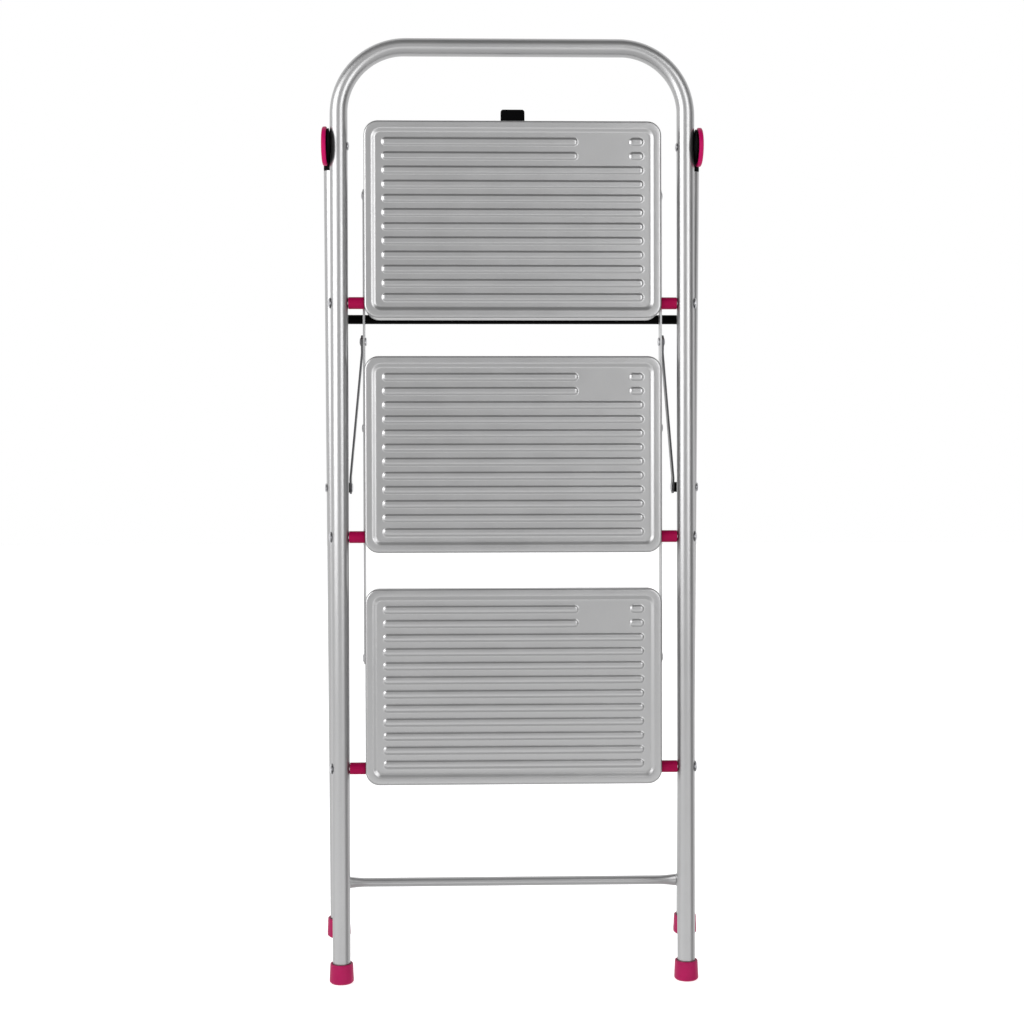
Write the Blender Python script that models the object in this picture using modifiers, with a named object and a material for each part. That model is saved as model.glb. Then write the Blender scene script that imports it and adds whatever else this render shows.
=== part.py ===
"""Three-step folding step stool, folded flat and standing upright on its front feet.

For Blender 4.5, in metres, +Z up. +X is the user's right hand when facing the treads, and +Y runs from
the front frame towards the rear frame. Every shape is drawn in stool coordinates, where y = 0 is the
plane of the front tube's axis, and then hangs from the empty that stands on its body's joint axis.
"""

import math

import bmesh
import bpy
from mathutils import Matrix, Vector

# Fits
GAP = 0.0003  # between pieces that touch
HOLE_PLAY = 0.0003  # a hole's radius over its shank's

# Front frame: one tube bent into a U, with the handle at the top
FRAME_HEIGHT = 1.010
TUBE_RADIUS = 0.0095
TUBE_WALL = 0.0012
FRONT_X = 0.1855
HANDLE_BEND = 0.071
TUBE_SIDES = 16
SMALL_SIDES = 12
BEND_STEPS = 9

# Foot cups
FOOT_RADIUS = 0.013
FOOT_TOP_RADIUS = 0.0122
FOOT_SOLE_RADIUS = 0.0112
FOOT_HEIGHT = 0.021
FOOT_FLOOR = 0.004
FOOT_EDGE = 0.0006

# Rear frame: two legs that lean away from the front tube, joined by two crossbars
REAR_X = 0.194
REAR_TOP_Y = 0.0237
REAR_TOP_Z = 0.8730
REAR_LEAN = math.radians(3.5)
REAR_FOOT_Z = 0.030
CROSSBAR_RADIUS = 0.005
UPPER_BAR_Z = 0.714
LOWER_BAR_Z = 0.090

# Hinge between the two frames
HINGE_Z = 0.895
HINGE_CAP_RADIUS = 0.0206
HINGE_CAP_EDGE = 0.0011
HINGE_CAP_INNER_X = 0.1979
HINGE_CAP_OUTER_X = 0.2028
HINGE_CAP_HOLLOW = (0.007, 0.0031)  # radius and depth of the room for the rivet's head
BRACKET_INNER_X = 0.1964
BRACKET_OUTER_X = 0.1976
BRACKET_DISC_RADIUS = 0.0188
BRACKET_SHOULDER = 0.0048  # how far above the leg's end the disc runs down into it
BRACKET_NECK_TOP = 0.016
BRACKET_NECK_OVERLAP = 0.004
BRACKET_PLUG_RADIUS = 0.0077
BRACKET_PLUG_LENGTH = 0.026
SADDLE_OUTER_X = 0.1961
SADDLE_INNER_X = 0.1932
SADDLE_NOSE_RADIUS = 0.0075
SADDLE_REAR_Y = 0.0110  # cut off here, clear of the bracket's neck
HINGE_SHANK_RADIUS = 0.0025
HINGE_HEAD_RADIUS = 0.0045

# Treads, measured from their pivot: z along the tread, y down through its thickness
TREAD_NAMES = ("top", "middle", "bottom")
PIVOT_Z = {"top": 0.728, "middle": 0.478, "bottom": 0.230}
TREAD_HALF_WIDTH = 0.1585
TREAD_FRONT_EDGE = -0.0169
TREAD_REAR_EDGE = 0.1928
TREAD_FACE_Y = -0.011
TREAD_SKIRT_Y = 0.020
TREAD_LIP_Y = 0.014
TREAD_REAR_SKIRT_Y = 0.0066
TREAD_SHEET = 0.001
TREAD_CORNER = 0.015
TREAD_ROUNDING = 0.0025
TREAD_RIM = 0.0105
TREAD_RECESS = 0.0020
TREAD_RECESS_CORNER = 0.007
SKIRT_TAPER_Z = (0.123, 0.143)

# Tread bolts, their nuts and spacer sleeves
BOLT_RADIUS = 0.003
BOLT_HEAD_RADIUS = 0.006
BOLT_HEAD_HEIGHT = 0.0022
BOLT_END_X = 0.1505
NUT_X = (0.1518, 0.1566)
NUT_RADIUS = 0.0056
SPACER_RADIUS = 0.0064
SPACER_EDGE = 0.0005

# Links: one flat bar each side that ties the three treads together
LINK_X = 0.1589
BAR_THICKNESS = 0.002
BAR_HALF_WIDTH = 0.007
RIVET_Y = 0.014
RIVET_Z = 0.117
RIVET_RADIUS = 0.0023
RIVET_HEAD_RADIUS = 0.0045
RIVET_HEAD_HEIGHT = 0.0014

# Braces: one bar each side from the link down to the rear leg
BRACE_TOP_X = 0.1612
BRACE_FOOT_X = 0.1760
BRACE_TOP_Z = 0.688
BRACE_FOOT_Z = 0.531
BRACE_PIN_RADIUS = 0.003
BRACE_PIN_HEAD_RADIUS = 0.005
BRACE_BUSH_RADIUS = 0.0055
BRACE_JOGGLE = (0.07, 0.93)  # shares of the bar's length where its slant starts and ends

# Platform latch under the rear edge of the top tread, measured from the tread's pivot
LATCH_PIN_Y = 0.001
LATCH_PIN_Z = 0.176
LATCH_PIN_RADIUS = 0.0014
LATCH_TAB_HALF_WIDTH = 0.0128
LATCH_TAB_Y = (-0.0045, -0.0005)
LATCH_TAB_Z = (0.186, 0.2058)
LATCH_TAB_CORNER = 0.003
LATCH_ARM_HALF_WIDTH = 0.008
LATCH_EAR_X = (0.0145, 0.0155)
LATCH_EAR_Y = 0.006
LATCH_EAR_Z = (-0.006, 0.005)  # from the pin
LATCH_NOTCH_HALF_WIDTH = 0.0134
LATCH_NOTCH_DEPTH = 0.004
LATCH_HOOK = (  # the arm's side view: (y, z) from the tab's root round the hook and back
    (-0.0045, 0.188),
    (-0.0005, 0.188),
    (0.0060, 0.180),
    (0.0100, 0.172),
    (0.0205, 0.163),
    (0.0225, 0.158),
    (0.0225, 0.152),
    (0.0175, 0.152),
    (0.0175, 0.1556),
    (0.0040, 0.1556),
    (-0.0025, 0.166),
    (-0.0045, 0.176),
)

SIDES = {"left": -1, "right": 1}


def rear_axis_y(z):
    """Where the rear leg's axis is at height z."""
    return REAR_TOP_Y + (REAR_TOP_Z - z) * math.tan(REAR_LEAN)


# The stool's front plane, set so that the whole object is centred on y = 0
REAR_REACH = rear_axis_y(REAR_FOOT_Z) + FOOT_RADIUS * math.cos(REAR_LEAN)
FRONT_PLANE_Y = (FOOT_RADIUS - REAR_REACH) / 2

# Where each body's joint axis crosses the stool's middle plane: (y, z)
PIVOTS = {
    "front_frame": (0.0, 0.0),
    "rear_frame": (0.0, HINGE_Z),
    "tread_top": (0.0, PIVOT_Z["top"]),
    "tread_middle": (0.0, PIVOT_Z["middle"]),
    "tread_bottom": (0.0, PIVOT_Z["bottom"]),
    "link": (RIVET_Y, PIVOT_Z["top"] + RIVET_Z),
    "brace": (rear_axis_y(BRACE_FOOT_Z), BRACE_FOOT_Z),
    "latch": (LATCH_PIN_Y, PIVOT_Z["top"] + LATCH_PIN_Z),
}


# ---------------------------------------------------------------- scene


def clear_scene():
    for obj in list(bpy.data.objects):
        bpy.data.objects.remove(obj)


def add_collection(name):
    collection = bpy.data.collections.new(name)
    bpy.context.scene.collection.children.link(collection)
    return collection


def make_material(name, colour, roughness, metallic):
    material = bpy.data.materials.new(name)
    material.use_nodes = True
    shader = material.node_tree.nodes["Principled BSDF"]
    shader.inputs["Base Color"].default_value = (*colour, 1.0)
    shader.inputs["Roughness"].default_value = roughness
    shader.inputs["Metallic"].default_value = metallic
    return material


def add_pivots(collection):
    """One empty per body on its joint axis, all under the empty that stands in the front plane."""
    root = bpy.data.objects.new("stool_origin", None)
    root.location.y = FRONT_PLANE_Y
    collection.objects.link(root)
    empties = {}
    for body, (y, z) in PIVOTS.items():
        empty = bpy.data.objects.new("pivot_" + body, None)
        empty.parent = root
        empty.location = (0, y, z)
        collection.objects.link(empty)
        empties[body] = empty
    return empties


def hang(obj, name, body, material):
    """Names the finished solid, paints it and hangs it from its body's joint axis."""
    y, z = PIVOTS[body]
    obj.name = obj.data.name = name
    obj.data.transform(Matrix.Translation((0, -y, -z)))
    obj.data.materials.clear()
    obj.data.materials.append(material)
    obj.data.shade_smooth()
    obj.data.set_sharp_from_angle(angle=math.radians(35))
    obj.parent = EMPTIES[body]


# ---------------------------------------------------------------- shapes


def add_object(data):
    obj = bpy.data.objects.new("shape", data)
    STOOL.objects.link(obj)
    return obj


def baked(obj):
    """The object's evaluated shape as a plain closed mesh in stool coordinates."""
    bpy.context.view_layer.update()
    graph = bpy.context.evaluated_depsgraph_get()
    mesh = bpy.data.meshes.new_from_object(obj.evaluated_get(graph))
    mesh.transform(obj.matrix_world)
    bpy.data.objects.remove(obj)
    shape = bmesh.new()
    shape.from_mesh(mesh)
    bmesh.ops.remove_doubles(shape, verts=shape.verts, dist=1e-6)
    bmesh.ops.recalc_face_normals(shape, faces=shape.faces)
    shape.to_mesh(mesh)
    shape.free()
    return add_object(mesh)


def combine(obj, others, operation):
    """A Boolean of obj with each of the others, which are used up."""
    for other in others:
        modifier = obj.modifiers.new(operation.lower(), "BOOLEAN")
        modifier.operation = operation
        modifier.object = other
    result = baked(obj)
    for other in others:
        bpy.data.objects.remove(other)
    return result


def cut(obj, *cutters):
    return combine(obj, cutters, "DIFFERENCE")


def fuse(obj, *others):
    return combine(obj, others, "UNION")


def rod(start, end, radius, sides=SMALL_SIDES):
    """A round bar between two points."""
    start, end = Vector(start), Vector(end)
    shape = bmesh.new()
    bmesh.ops.create_cone(
        shape, cap_ends=True, segments=sides, radius1=radius, radius2=radius, depth=(end - start).length
    )
    mesh = bpy.data.meshes.new("rod")
    shape.to_mesh(mesh)
    shape.free()
    turn = (end - start).to_track_quat("Z", "Y").to_matrix().to_4x4()
    mesh.transform(Matrix.Translation((start + end) / 2) @ turn)
    return add_object(mesh)


def rod_across(y, z, radius, low_x, high_x, sides=SMALL_SIDES):
    return rod((low_x, y, z), (high_x, y, z), radius, sides)


def block(low, high):
    """A box between two corners."""
    low, high = Vector(low), Vector(high)
    shape = bmesh.new()
    bmesh.ops.create_cube(shape, size=1)
    mesh = bpy.data.meshes.new("block")
    shape.to_mesh(mesh)
    shape.free()
    mesh.transform(Matrix.Translation((low + high) / 2) @ Matrix.Diagonal((high - low).to_4d()))
    return add_object(mesh)


def turned(profile, closed, place, sides=20):
    """A turned shape. The profile is (radius, height) down the outer side, about the z of place."""
    points = [(radius, 0, height) for radius, height in profile]
    edges = [(i, i + 1) for i in range(len(points) - 1)]
    if closed:
        edges.append((len(points) - 1, 0))
    mesh = bpy.data.meshes.new("profile")
    mesh.from_pydata(points, edges, [])
    obj = add_object(mesh)
    obj.matrix_world = place
    screw = obj.modifiers.new("turn", "SCREW")
    screw.steps = screw.render_steps = sides
    screw.use_merge_vertices = True
    screw.merge_threshold = 1e-5
    return baked(obj)


def along_x(side, y, z):
    """A place whose own z axis points outwards along X, on the stool's left or right side."""
    return Matrix.Translation((0, y, z)) @ Matrix.Rotation(side * math.pi / 2, 4, "Y")


def curve_object(points, closed, dimensions="3D"):
    curve = bpy.data.curves.new("path", "CURVE")
    curve.dimensions = dimensions
    spline = curve.splines.new("POLY")
    spline.points.add(len(points) - 1)
    for target, point in zip(spline.points, points):
        target.co = (*point, 1)
    spline.use_cyclic_u = closed
    return add_object(curve)


def tube(points):
    """A hollow frame tube, open at both ends, along the points of its axis."""
    obj = curve_object(points, closed=False)
    obj.data.bevel_depth = TUBE_RADIUS
    obj.data.bevel_resolution = TUBE_SIDES // 4 - 1
    shell = baked(obj)
    wall = shell.modifiers.new("wall", "SOLIDIFY")
    wall.thickness = TUBE_WALL
    wall.offset = -1
    return baked(shell)


def slab(outline, low, high, rounding=0.0):
    """A flat outline with depth. Its (x, y) become (x, z) in the stool, and depth runs along y."""
    obj = curve_object([(x, z, 0) for x, z in outline], closed=True, dimensions="2D")
    obj.data.fill_mode = "BOTH"
    obj.data.extrude = (high - low) / 2 - rounding
    obj.data.bevel_depth = rounding
    obj.data.bevel_resolution = 1
    obj.data.offset = -rounding
    stand = Matrix.Rotation(math.pi / 2, 4, "X")
    obj.matrix_world = Matrix.Translation((0, (low + high) / 2, 0)) @ stand
    return baked(obj)


def side_slab(outline, low_x, high_x):
    """A flat outline of (y, z) points with depth along x."""
    obj = curve_object([(y, z, 0) for y, z in outline], closed=True, dimensions="2D")
    obj.data.fill_mode = "BOTH"
    obj.data.extrude = abs(high_x - low_x) / 2
    axes = Matrix(((0, 0, 1, 0), (1, 0, 0, 0), (0, 1, 0, 0), (0, 0, 0, 1)))
    obj.matrix_world = Matrix.Translation(((low_x + high_x) / 2, 0, 0)) @ axes
    return baked(obj)


def arc(centre, radius, start, end, steps):
    """Points on an arc, with the angles in degrees from the first coordinate's axis."""
    angles = [math.radians(start + (end - start) * i / steps) for i in range(steps + 1)]
    return [(centre[0] + radius * math.cos(a), centre[1] + radius * math.sin(a)) for a in angles]


def rounded_rectangle(half_width, low, high, corner, steps=6):
    centres = (
        (half_width - corner, high - corner),
        (corner - half_width, high - corner),
        (corner - half_width, low + corner),
        (half_width - corner, low + corner),
    )
    points = []
    for quarter, centre in enumerate(centres):
        points += arc(centre, corner, 90 * quarter, 90 * quarter + 90, steps)
    return points


def bar_outline(start, end, half_width, steps=6):
    """A flat bar with round ends, between two pin centres."""
    heading = math.degrees(math.atan2(end[1] - start[1], end[0] - start[0]))
    tail = arc(start, half_width, heading + 90, heading + 270, steps)
    return tail + arc(end, half_width, heading - 90, heading + 90, steps)


# ---------------------------------------------------------------- front frame


def front_tube(steel):
    straight_top = FRAME_HEIGHT - TUBE_RADIUS - HANDLE_BEND
    bend_x = FRONT_X - HANDLE_BEND
    bottom = FOOT_FLOOR + GAP
    left = arc((-bend_x, straight_top), HANDLE_BEND, 180, 90, BEND_STEPS)
    right = arc((bend_x, straight_top), HANDLE_BEND, 90, 0, BEND_STEPS)
    path = [(-FRONT_X, bottom), *left, *right, (FRONT_X, bottom)]
    obj = tube([(x, 0, z) for x, z in path])
    reach = FRONT_X + 2 * TUBE_RADIUS
    holes = [rod_across(0, z, BOLT_RADIUS + HOLE_PLAY, -reach, reach) for z in PIVOT_Z.values()]
    holes.append(rod_across(0, HINGE_Z, HINGE_SHANK_RADIUS + HOLE_PLAY, -reach, reach))
    hang(cut(obj, *holes), "front_tube", "front_frame", steel)


def foot_cup(place):
    profile = (
        (0, FOOT_FLOOR),
        (TUBE_RADIUS + GAP, FOOT_FLOOR),
        (TUBE_RADIUS + GAP, FOOT_HEIGHT),
        (FOOT_TOP_RADIUS - FOOT_EDGE, FOOT_HEIGHT),
        (FOOT_TOP_RADIUS, FOOT_HEIGHT - FOOT_EDGE),
        (FOOT_RADIUS, 0.0035),
        (FOOT_RADIUS - FOOT_EDGE, 0.0012),
        (FOOT_SOLE_RADIUS, 0),
        (0, 0),
    )
    return turned(profile, False, place, sides=24)


def front_feet(rubber):
    for side, sign in SIDES.items():
        foot = foot_cup(Matrix.Translation((sign * FRONT_X, 0, 0)))
        hang(foot, "front_foot_" + side, "front_frame", rubber)


def tread_bolt(sign, z):
    head = FRONT_X + TUBE_RADIUS + GAP
    profile = (
        (0, head + BOLT_HEAD_HEIGHT),
        (BOLT_HEAD_RADIUS * 0.6, head + BOLT_HEAD_HEIGHT * 0.9),
        (BOLT_HEAD_RADIUS, head + BOLT_HEAD_HEIGHT * 0.4),
        (BOLT_HEAD_RADIUS, head),
        (BOLT_RADIUS, head),
        (BOLT_RADIUS, BOLT_END_X),
        (0, BOLT_END_X),
    )
    return turned(profile, False, along_x(sign, 0, z), sides=SMALL_SIDES)


def spacer(sign, z):
    inner, outer = TREAD_HALF_WIDTH + GAP, FRONT_X - TUBE_RADIUS - GAP
    bore = BOLT_RADIUS + HOLE_PLAY
    profile = (
        (bore, outer),
        (SPACER_RADIUS - SPACER_EDGE, outer),
        (SPACER_RADIUS, outer - SPACER_EDGE),
        (SPACER_RADIUS, inner + SPACER_EDGE),
        (SPACER_RADIUS - SPACER_EDGE, inner),
        (bore, inner),
    )
    return turned(profile, True, along_x(sign, 0, z), sides=16)


def nut(sign, z):
    low, high = sorted(sign * x for x in NUT_X)
    body = rod_across(0, z, NUT_RADIUS, low, high, 6)
    bore = rod_across(0, z, BOLT_RADIUS + HOLE_PLAY, low - GAP, high + GAP)
    return cut(body, bore)


def tread_fasteners(bright_steel, pink):
    for level in TREAD_NAMES:
        for side, sign in SIDES.items():
            name = level + "_" + side
            hang(tread_bolt(sign, PIVOT_Z[level]), "tread_bolt_" + name, "front_frame", bright_steel)
            hang(nut(sign, PIVOT_Z[level]), "tread_nut_" + name, "front_frame", bright_steel)
            hang(spacer(sign, PIVOT_Z[level]), "spacer_" + name, "front_frame", pink)


def hinge_rivets(bright_steel):
    inner = FRONT_X - TUBE_RADIUS - GAP
    profile = (
        (0, HINGE_CAP_INNER_X + RIVET_HEAD_HEIGHT),
        (HINGE_HEAD_RADIUS, HINGE_CAP_INNER_X + RIVET_HEAD_HEIGHT),
        (HINGE_HEAD_RADIUS, HINGE_CAP_INNER_X),
        (HINGE_SHANK_RADIUS, HINGE_CAP_INNER_X),
        (HINGE_SHANK_RADIUS, inner),
        (HINGE_HEAD_RADIUS, inner),
        (HINGE_HEAD_RADIUS, inner - RIVET_HEAD_HEIGHT * 0.5),
        (HINGE_HEAD_RADIUS * 0.6, inner - RIVET_HEAD_HEIGHT),
        (0, inner - RIVET_HEAD_HEIGHT),
    )
    for side, sign in SIDES.items():
        rivet = turned(profile, False, along_x(sign, 0, HINGE_Z), sides=SMALL_SIDES)
        hang(rivet, "hinge_rivet_" + side, "front_frame", bright_steel)


def hinge_saddles(black):
    """A cone hollowed to the front tube, so that the flat hinge plate bears on something flat."""
    profile = (
        (0, SADDLE_OUTER_X),
        (BRACKET_DISC_RADIUS, SADDLE_OUTER_X),
        (BRACKET_DISC_RADIUS, SADDLE_OUTER_X - GAP),
        (SADDLE_NOSE_RADIUS, SADDLE_INNER_X),
        (0, SADDLE_INNER_X),
    )
    reach = 2 * BRACKET_DISC_RADIUS
    for side, sign in SIDES.items():
        cone = turned(profile, False, along_x(sign, 0, HINGE_Z), sides=28)
        x = sign * FRONT_X
        hollow = rod((x, 0, HINGE_Z - reach), (x, 0, HINGE_Z + reach), TUBE_RADIUS + GAP, 24)
        behind = block((-1, SADDLE_REAR_Y, HINGE_Z - reach), (1, SADDLE_REAR_Y + reach, HINGE_Z + reach))
        bore_low, bore_high = sorted((sign * SADDLE_INNER_X, sign * (SADDLE_OUTER_X + GAP)))
        bore = rod_across(0, HINGE_Z, HINGE_SHANK_RADIUS + HOLE_PLAY, bore_low, bore_high)
        hang(cut(cone, hollow, behind, bore), "hinge_saddle_" + side, "front_frame", black)


# ---------------------------------------------------------------- rear frame


def rear_point(sign, z):
    return Vector((sign * REAR_X, rear_axis_y(z), z))


def rear_legs(steel):
    bottom = REAR_FOOT_Z + (FOOT_FLOOR + GAP) * math.cos(REAR_LEAN)
    for side, sign in SIDES.items():
        leg = tube([rear_point(sign, REAR_TOP_Z), rear_point(sign, bottom)])
        y, z = PIVOTS["brace"]
        low, high = sorted((sign * (REAR_X - 2 * TUBE_RADIUS), sign * (REAR_X + 2 * TUBE_RADIUS)))
        hole = rod_across(y, z, BRACE_PIN_RADIUS + HOLE_PLAY, low, high)
        hang(cut(leg, hole), "rear_leg_" + side, "rear_frame", steel)


def rear_feet(rubber):
    for side, sign in SIDES.items():
        place = Matrix.Translation(rear_point(sign, REAR_FOOT_Z)) @ Matrix.Rotation(REAR_LEAN, 4, "X")
        hang(foot_cup(place), "rear_foot_" + side, "rear_frame", rubber)


def crossbars(steel, black):
    """The upper bar is sleeved in plastic, because the open platform rests on it."""
    for name, z, finish in (("upper_crossbar", UPPER_BAR_Z, black), ("lower_crossbar", LOWER_BAR_Z, steel)):
        bar = rod_across(rear_axis_y(z), z, CROSSBAR_RADIUS, -REAR_X, REAR_X, 16)
        saddles = [
            rod(rear_point(sign, z - TUBE_RADIUS), rear_point(sign, z + TUBE_RADIUS), TUBE_RADIUS + GAP, 24)
            for sign in SIDES.values()
        ]
        hang(cut(bar, *saddles), name, "rear_frame", finish)


def bracket_plate_outline():
    """Side view of the hinge plate: a disc round the hinge that runs down into the leg's width."""
    top = REAR_TOP_Z + BRACKET_SHOULDER
    disc = arc((0, HINGE_Z), BRACKET_DISC_RADIUS, 20, 250, 14)
    return disc + [(rear_axis_y(top) - TUBE_RADIUS, top), (rear_axis_y(top) + TUBE_RADIUS * 0.8, top)]


def hinge_brackets(black):
    """The moulded piece that plugs into the leg and turns on the front tube's outer side."""
    neck_low = REAR_TOP_Z + GAP
    neck_high = REAR_TOP_Z + BRACKET_NECK_TOP
    plug_low = REAR_TOP_Z - BRACKET_PLUG_LENGTH
    for side, sign in SIDES.items():
        low, high = sorted((sign * BRACKET_INNER_X, sign * BRACKET_OUTER_X))
        plate = side_slab(bracket_plate_outline(), low, high)
        neck = rod(rear_point(sign, neck_low), rear_point(sign, neck_high), TUBE_RADIUS, 20)
        plug_high = rear_point(sign, neck_low + BRACKET_NECK_OVERLAP)
        plug = rod(rear_point(sign, plug_low), plug_high, BRACKET_PLUG_RADIUS, 16)
        reach = sign * (HINGE_CAP_OUTER_X + GAP)
        room = HINGE_CAP_RADIUS + GAP
        cap_room = rod_across(0, HINGE_Z, room, *sorted((sign * BRACKET_OUTER_X, reach)), 32)
        hole = rod_across(0, HINGE_Z, HINGE_SHANK_RADIUS + HOLE_PLAY, *sorted((0.0, reach)))
        bracket = cut(fuse(plate, neck, plug), cap_room, hole)
        hang(bracket, "hinge_bracket_" + side, "rear_frame", black)


def hinge_caps(pink):
    inner, outer, radius = HINGE_CAP_INNER_X, HINGE_CAP_OUTER_X, HINGE_CAP_RADIUS
    hollow_radius, depth = HINGE_CAP_HOLLOW
    profile = (
        (0, outer),
        (radius * 0.6, outer - GAP),
        (radius - HINGE_CAP_EDGE, outer - HINGE_CAP_EDGE * 0.6),
        (radius - HINGE_CAP_EDGE * 0.3, outer - HINGE_CAP_EDGE),
        (radius, outer - HINGE_CAP_EDGE * 2),
        (radius, inner + HINGE_CAP_EDGE),
        (radius - HINGE_CAP_EDGE, inner),
        (hollow_radius, inner),
        (hollow_radius, inner + depth),
        (0, inner + depth),
    )
    for side, sign in SIDES.items():
        cap = turned(profile, False, along_x(sign, 0, HINGE_Z), sides=28)
        hang(cap, "hinge_cap_" + side, "rear_frame", pink)


def brace_pins(bright_steel, black):
    """The rivet through each rear leg that the brace turns on, and the bush that keeps them apart."""
    y, z = PIVOTS["brace"]
    outer = REAR_X + TUBE_RADIUS + GAP
    inner = BRACE_FOOT_X - GAP
    pin_profile = (
        (0, outer + RIVET_HEAD_HEIGHT),
        (BRACE_PIN_HEAD_RADIUS * 0.7, outer + RIVET_HEAD_HEIGHT),
        (BRACE_PIN_HEAD_RADIUS, outer + RIVET_HEAD_HEIGHT * 0.5),
        (BRACE_PIN_HEAD_RADIUS, outer),
        (BRACE_PIN_RADIUS, outer),
        (BRACE_PIN_RADIUS, inner),
        (BRACE_PIN_HEAD_RADIUS, inner),
        (BRACE_PIN_HEAD_RADIUS, inner - RIVET_HEAD_HEIGHT * 0.5),
        (BRACE_PIN_HEAD_RADIUS * 0.7, inner - RIVET_HEAD_HEIGHT),
        (0, inner - RIVET_HEAD_HEIGHT),
    )
    bush_low = BRACE_FOOT_X + BAR_THICKNESS + GAP
    bush_high = REAR_X - TUBE_RADIUS - GAP
    bore = BRACE_PIN_RADIUS + HOLE_PLAY
    bush_profile = (
        (bore, bush_high),
        (BRACE_BUSH_RADIUS, bush_high),
        (BRACE_BUSH_RADIUS, bush_low),
        (bore, bush_low),
    )
    for side, sign in SIDES.items():
        pin = turned(pin_profile, False, along_x(sign, y, z), sides=SMALL_SIDES)
        hang(pin, "brace_pin_" + side, "rear_frame", bright_steel)
        bush = turned(bush_profile, True, along_x(sign, y, z), sides=SMALL_SIDES)
        hang(bush, "brace_bush_" + side, "rear_frame", black)


# ---------------------------------------------------------------- treads


def inset_slab(inset, low, high, rounding=0.0):
    outline = rounded_rectangle(
        TREAD_HALF_WIDTH - inset,
        TREAD_FRONT_EDGE + inset,
        TREAD_REAR_EDGE - inset,
        max(TREAD_CORNER - inset, TREAD_RECESS_CORNER),
    )
    return slab(outline, low, high, rounding)


def tread_shape():
    """One pressed sheet: a rim, a sunk panel inside it and skirts bent down all round."""
    sheet, face = TREAD_SHEET, TREAD_FACE_Y
    under = TREAD_SKIRT_Y + TREAD_CORNER
    shape = inset_slab(0, face, TREAD_SKIRT_Y + TREAD_ROUNDING, TREAD_ROUNDING)
    recess = inset_slab(TREAD_RIM, face - sheet, face + TREAD_RECESS)
    inside = inset_slab(sheet, face + sheet, under)
    panel = inset_slab(TREAD_RIM - sheet, face - sheet, face + TREAD_RECESS + sheet)
    trim = block((-1, TREAD_SKIRT_Y, -1), (1, under, 1))
    taper_low, taper_high = SKIRT_TAPER_Z
    taper = side_slab(
        (
            (under, taper_low),
            (under, TREAD_REAR_EDGE + sheet),
            (TREAD_REAR_SKIRT_Y, TREAD_REAR_EDGE + sheet),
            (TREAD_REAR_SKIRT_Y, taper_high),
            (TREAD_SKIRT_Y, taper_low),
        ),
        -TREAD_HALF_WIDTH - sheet,
        TREAD_HALF_WIDTH + sheet,
    )
    lip_half_width = TREAD_HALF_WIDTH - TREAD_CORNER
    lip = block(
        (-lip_half_width, TREAD_LIP_Y, TREAD_FRONT_EDGE - sheet),
        (lip_half_width, under, TREAD_FRONT_EDGE + TREAD_CORNER),
    )
    pivot_hole = rod_across(0, 0, BOLT_RADIUS + HOLE_PLAY, -1, 1)
    rivet_hole = rod_across(RIVET_Y, RIVET_Z, RIVET_RADIUS + HOLE_PLAY, -1, 1)
    return cut(shape, recess, cut(inside, panel), trim, taper, lip, pivot_hole, rivet_hole)


def treads(steel):
    pattern = tread_shape()
    for level in TREAD_NAMES:
        tread = add_object(pattern.data.copy())
        if level == "top":
            edge = TREAD_REAR_EDGE
            notch = block(
                (-LATCH_NOTCH_HALF_WIDTH, TREAD_FACE_Y + TREAD_SHEET + GAP, edge - LATCH_NOTCH_DEPTH),
                (LATCH_NOTCH_HALF_WIDTH, TREAD_SKIRT_Y, edge + LATCH_NOTCH_DEPTH),
            )
            tread = cut(tread, notch)
        tread.data.transform(Matrix.Translation((0, 0, PIVOT_Z[level])))
        hang(tread, "tread_" + level, "tread_" + level, steel)
    bpy.data.objects.remove(pattern)


# ---------------------------------------------------------------- links and braces


def rivet(sign, y, z, inner, outer):
    """A rivet with a head on each side of the plates between inner and outer."""
    profile = (
        (0, outer + RIVET_HEAD_HEIGHT),
        (RIVET_HEAD_RADIUS * 0.6, outer + RIVET_HEAD_HEIGHT),
        (RIVET_HEAD_RADIUS, outer + RIVET_HEAD_HEIGHT * 0.4),
        (RIVET_HEAD_RADIUS, outer),
        (RIVET_RADIUS, outer),
        (RIVET_RADIUS, inner),
        (RIVET_HEAD_RADIUS, inner),
        (RIVET_HEAD_RADIUS, inner - RIVET_HEAD_HEIGHT),
        (0, inner - RIVET_HEAD_HEIGHT),
    )
    return turned(profile, False, along_x(sign, y, z), sides=SMALL_SIDES)


def brace_stud(sign):
    """The stud on each link that the brace's upper end turns on."""
    top = LINK_X + BAR_THICKNESS
    profile = (
        (0, top),
        (RIVET_RADIUS, top),
        (RIVET_RADIUS, LINK_X - GAP),
        (RIVET_HEAD_RADIUS, LINK_X - GAP),
        (RIVET_HEAD_RADIUS, LINK_X - GAP - RIVET_HEAD_HEIGHT),
        (0, LINK_X - GAP - RIVET_HEAD_HEIGHT),
    )
    return turned(profile, False, along_x(sign, RIVET_Y, BRACE_TOP_Z), sides=SMALL_SIDES)


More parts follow.
